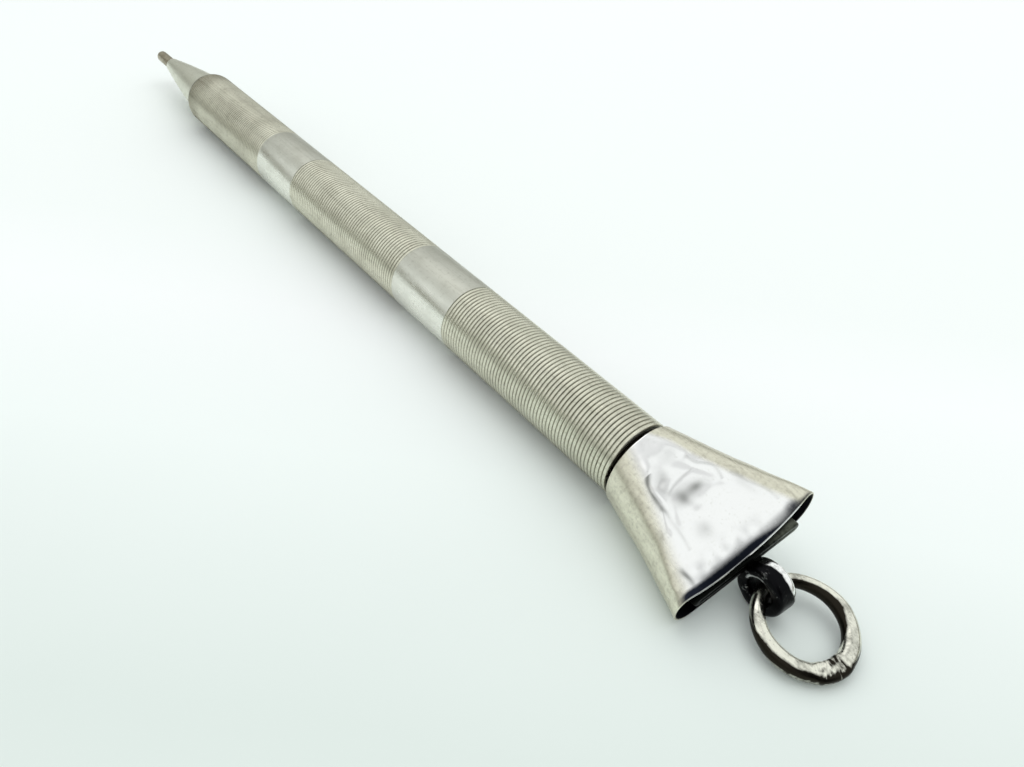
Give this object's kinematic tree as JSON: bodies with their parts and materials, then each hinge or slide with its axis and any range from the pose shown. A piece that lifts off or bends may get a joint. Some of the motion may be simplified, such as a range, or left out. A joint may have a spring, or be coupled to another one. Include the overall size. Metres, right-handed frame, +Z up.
{
  "type": "silver pencil",
  "caption": "Twist-action propelling pencil with a ribbed barrel, tapered nose, and a flared, flattened finial that turns to drive the lead and carries an eye with a swinging ring.",
  "frame": {"origin": "centre of the bounding box's footprint, on the plane the pencil lies on", "axes": "+X along the pencil from point to finial, +Z up as it lies"},
  "size_m": [0.1324, 0.0146, 0.0077],
  "materials": {
    "silver_barrel": "worn silver with engine turned ribs",
    "silver_nose": "plain polished silver, lightly worn",
    "silver_finial": "polished silver with dents and tarnish at the lip",
    "silver_fitting": "worn, tarnished silver",
    "brass_mechanism": "turned brass",
    "brass_nozzle": "dull brown brass",
    "steel_pins": "plain steel",
    "lead": "graphite"
  },
  "bodies": {
    "barrel": {"barrel": "silver_barrel", "rear_bush": "brass_mechanism", "spiral_tube": "brass_mechanism", "front_guide": "brass_mechanism", "guide_tube": "brass_mechanism", "nose_liner": "brass_mechanism", "nose_cone": "silver_nose", "nozzle_tube": "brass_nozzle"},
    "finial": {"finial_shell": "silver_finial", "finial_plug": "brass_mechanism", "drive_tube": "brass_mechanism", "retaining_collar": "brass_mechanism", "friction_washer": "steel_pins", "drive_pin": "steel_pins", "end_plate": "silver_fitting", "eye": "silver_fitting"},
    "carrier": {"carrier": "brass_mechanism", "carrier_lug": "steel_pins", "push_rod": "steel_pins", "lead_cup": "brass_mechanism", "lead": "lead"},
    "ring": {"suspension_ring": "silver_fitting"}
  },
  "joints": [
    {"name": "finial_turn", "type": "hinge", "parent": "barrel", "child": "finial", "pos_m": [0.04446, 0, 0.00383], "axis": [1, 0, 0], "range_deg": [0, 1440.5]},
    {"name": "carrier_slide", "type": "slide", "parent": "finial", "child": "carrier", "axis": [-1, 0, 0], "range_m": [0, 0.024]},
    {"name": "ring_swing", "type": "hinge", "parent": "finial", "child": "ring", "pos_m": [0.05864, 0.00081, 0.002], "axis": [0.0761, 0.9946, 0.0703], "range_deg": [-95, 140]}
  ],
  "couplings": [
    {"joint": "finial_turn", "follows": "carrier_slide", "rad_per_m": 1047.2}
  ]
}
